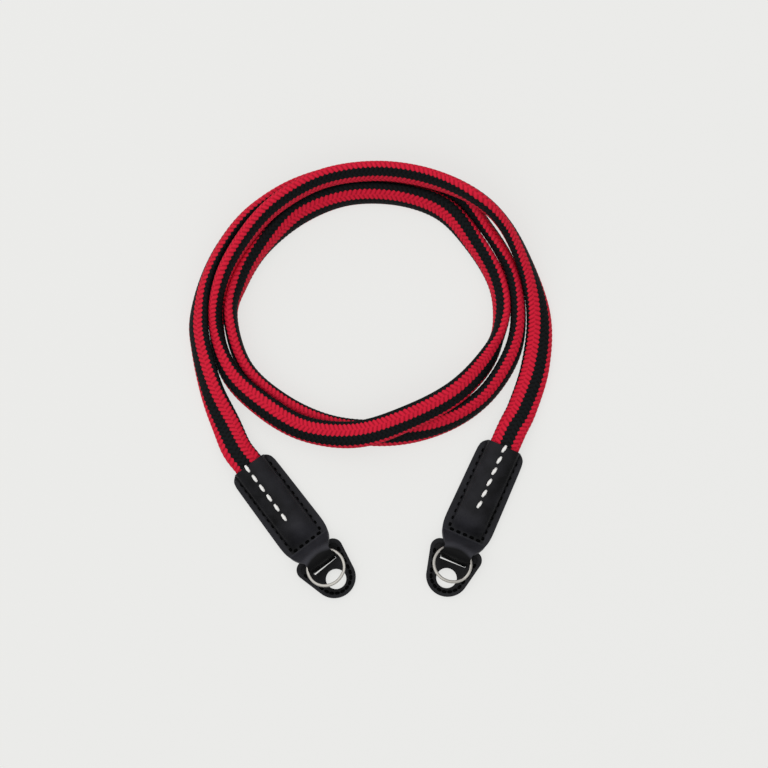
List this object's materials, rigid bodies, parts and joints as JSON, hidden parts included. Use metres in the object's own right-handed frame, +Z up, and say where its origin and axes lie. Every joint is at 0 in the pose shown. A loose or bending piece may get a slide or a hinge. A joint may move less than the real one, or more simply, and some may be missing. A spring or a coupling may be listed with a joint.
{
  "type": "camera neck strap",
  "caption": "Braided neck cord for a camera, loosely coiled, with a stitched leather tab, a split ring and a leather ring guard at each end.",
  "frame": {"origin": "bottom centre of the box round the two leather ends with their rings and guards, on the table", "axes": "+X from the left end to the right end, +Y from the ends towards the coil, +Z up from the table"},
  "size_m": [0.1442, 0.1739, 0.023],
  "materials": {
    "braided_cord": "tightly braided polyester yarn in red and black bands",
    "cord_core": "soft untwisted filler yarn",
    "tab_leather": "smooth black cowhide, satin",
    "guard_leather": "smooth black cowhide, satin",
    "black_thread": "bonded black sewing thread",
    "white_thread": "thick waxed white thread",
    "nickel_ring": "polished nickel-plated spring wire"
  },
  "bodies": {
    "strap": {"cord_sheath": "braided_cord", "cord_core": "cord_core", "left_tab_leather": "tab_leather", "left_tab_thread": "black_thread", "left_white_thread": "white_thread", "right_tab_leather": "tab_leather", "right_tab_thread": "black_thread", "right_white_thread": "white_thread"},
    "left_ring": {"left_split_ring": "nickel_ring"},
    "right_ring": {"right_split_ring": "nickel_ring"},
    "left_guard": {"left_guard_front": "guard_leather", "left_guard_back": "guard_leather", "left_guard_thread": "black_thread"},
    "right_guard": {"right_guard_front": "guard_leather", "right_guard_back": "guard_leather", "right_guard_thread": "black_thread"}
  },
  "joints": [
    {"name": "left_ring_swing", "type": "hinge", "parent": "strap", "child": "left_ring", "pos_m": [-0.02419, -0.01488, 0.00582], "axis": [-0.7986, -0.6018, 0], "range_deg": [-22, 70]},
    {"name": "left_guard_tilt", "type": "hinge", "parent": "strap", "child": "left_guard", "pos_m": [-0.02149, -0.01847, 0.00213], "axis": [-0.7716, -0.6361, 0], "range_deg": [0, 11]},
    {"name": "right_ring_swing", "type": "hinge", "parent": "strap", "child": "right_ring", "pos_m": [0.03164, -0.01286, 0.00582], "axis": [-0.9135, 0.4067, 0], "range_deg": [-22, 70]},
    {"name": "right_guard_tilt", "type": "hinge", "parent": "strap", "child": "right_guard", "pos_m": [0.02982, -0.01696, 0.00213], "axis": [-0.9304, 0.3665, 0], "range_deg": [0, 11]}
  ]
}
